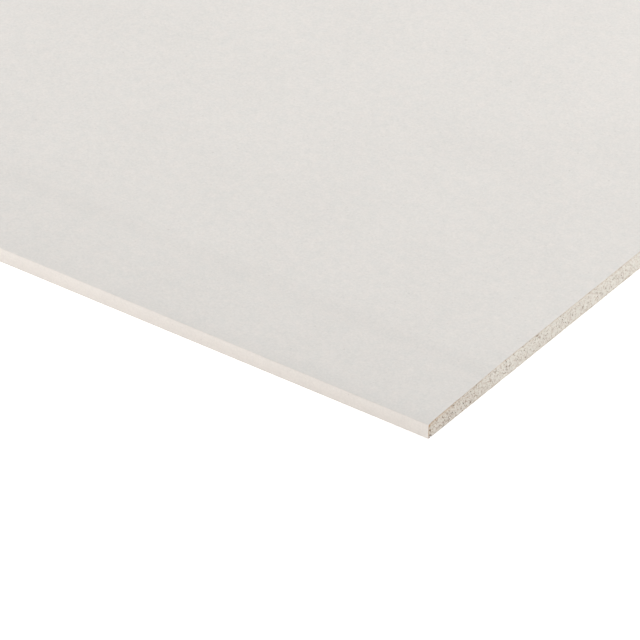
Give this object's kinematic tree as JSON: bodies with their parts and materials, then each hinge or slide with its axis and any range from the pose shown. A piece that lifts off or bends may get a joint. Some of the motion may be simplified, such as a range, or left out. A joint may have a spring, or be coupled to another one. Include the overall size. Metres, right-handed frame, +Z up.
{
  "type": "drywall sheet",
  "caption": "Flat drywall sheet with two tapered, paper-wrapped long edges and two cut ends that show the gypsum core.",
  "frame": {"origin": "centre of the sheet's back, which is what it rests on when it lies flat with its face up", "axes": "+X along the 2400 mm length and the two tapered long edges, +Y across the 1200 mm width, +Z up out of the face"},
  "size_m": [2.4, 1.2, 0.0125],
  "materials": {
    "gypsum": "matt, porous, sawn",
    "face_paper": "matt, smooth light grey paper",
    "back_paper": "matt, grey-brown recycled paper"
  },
  "bodies": {
    "root": {"gypsum_core": "gypsum", "face_paper": "face_paper", "back_paper": "back_paper"}
  },
  "joints": []
}
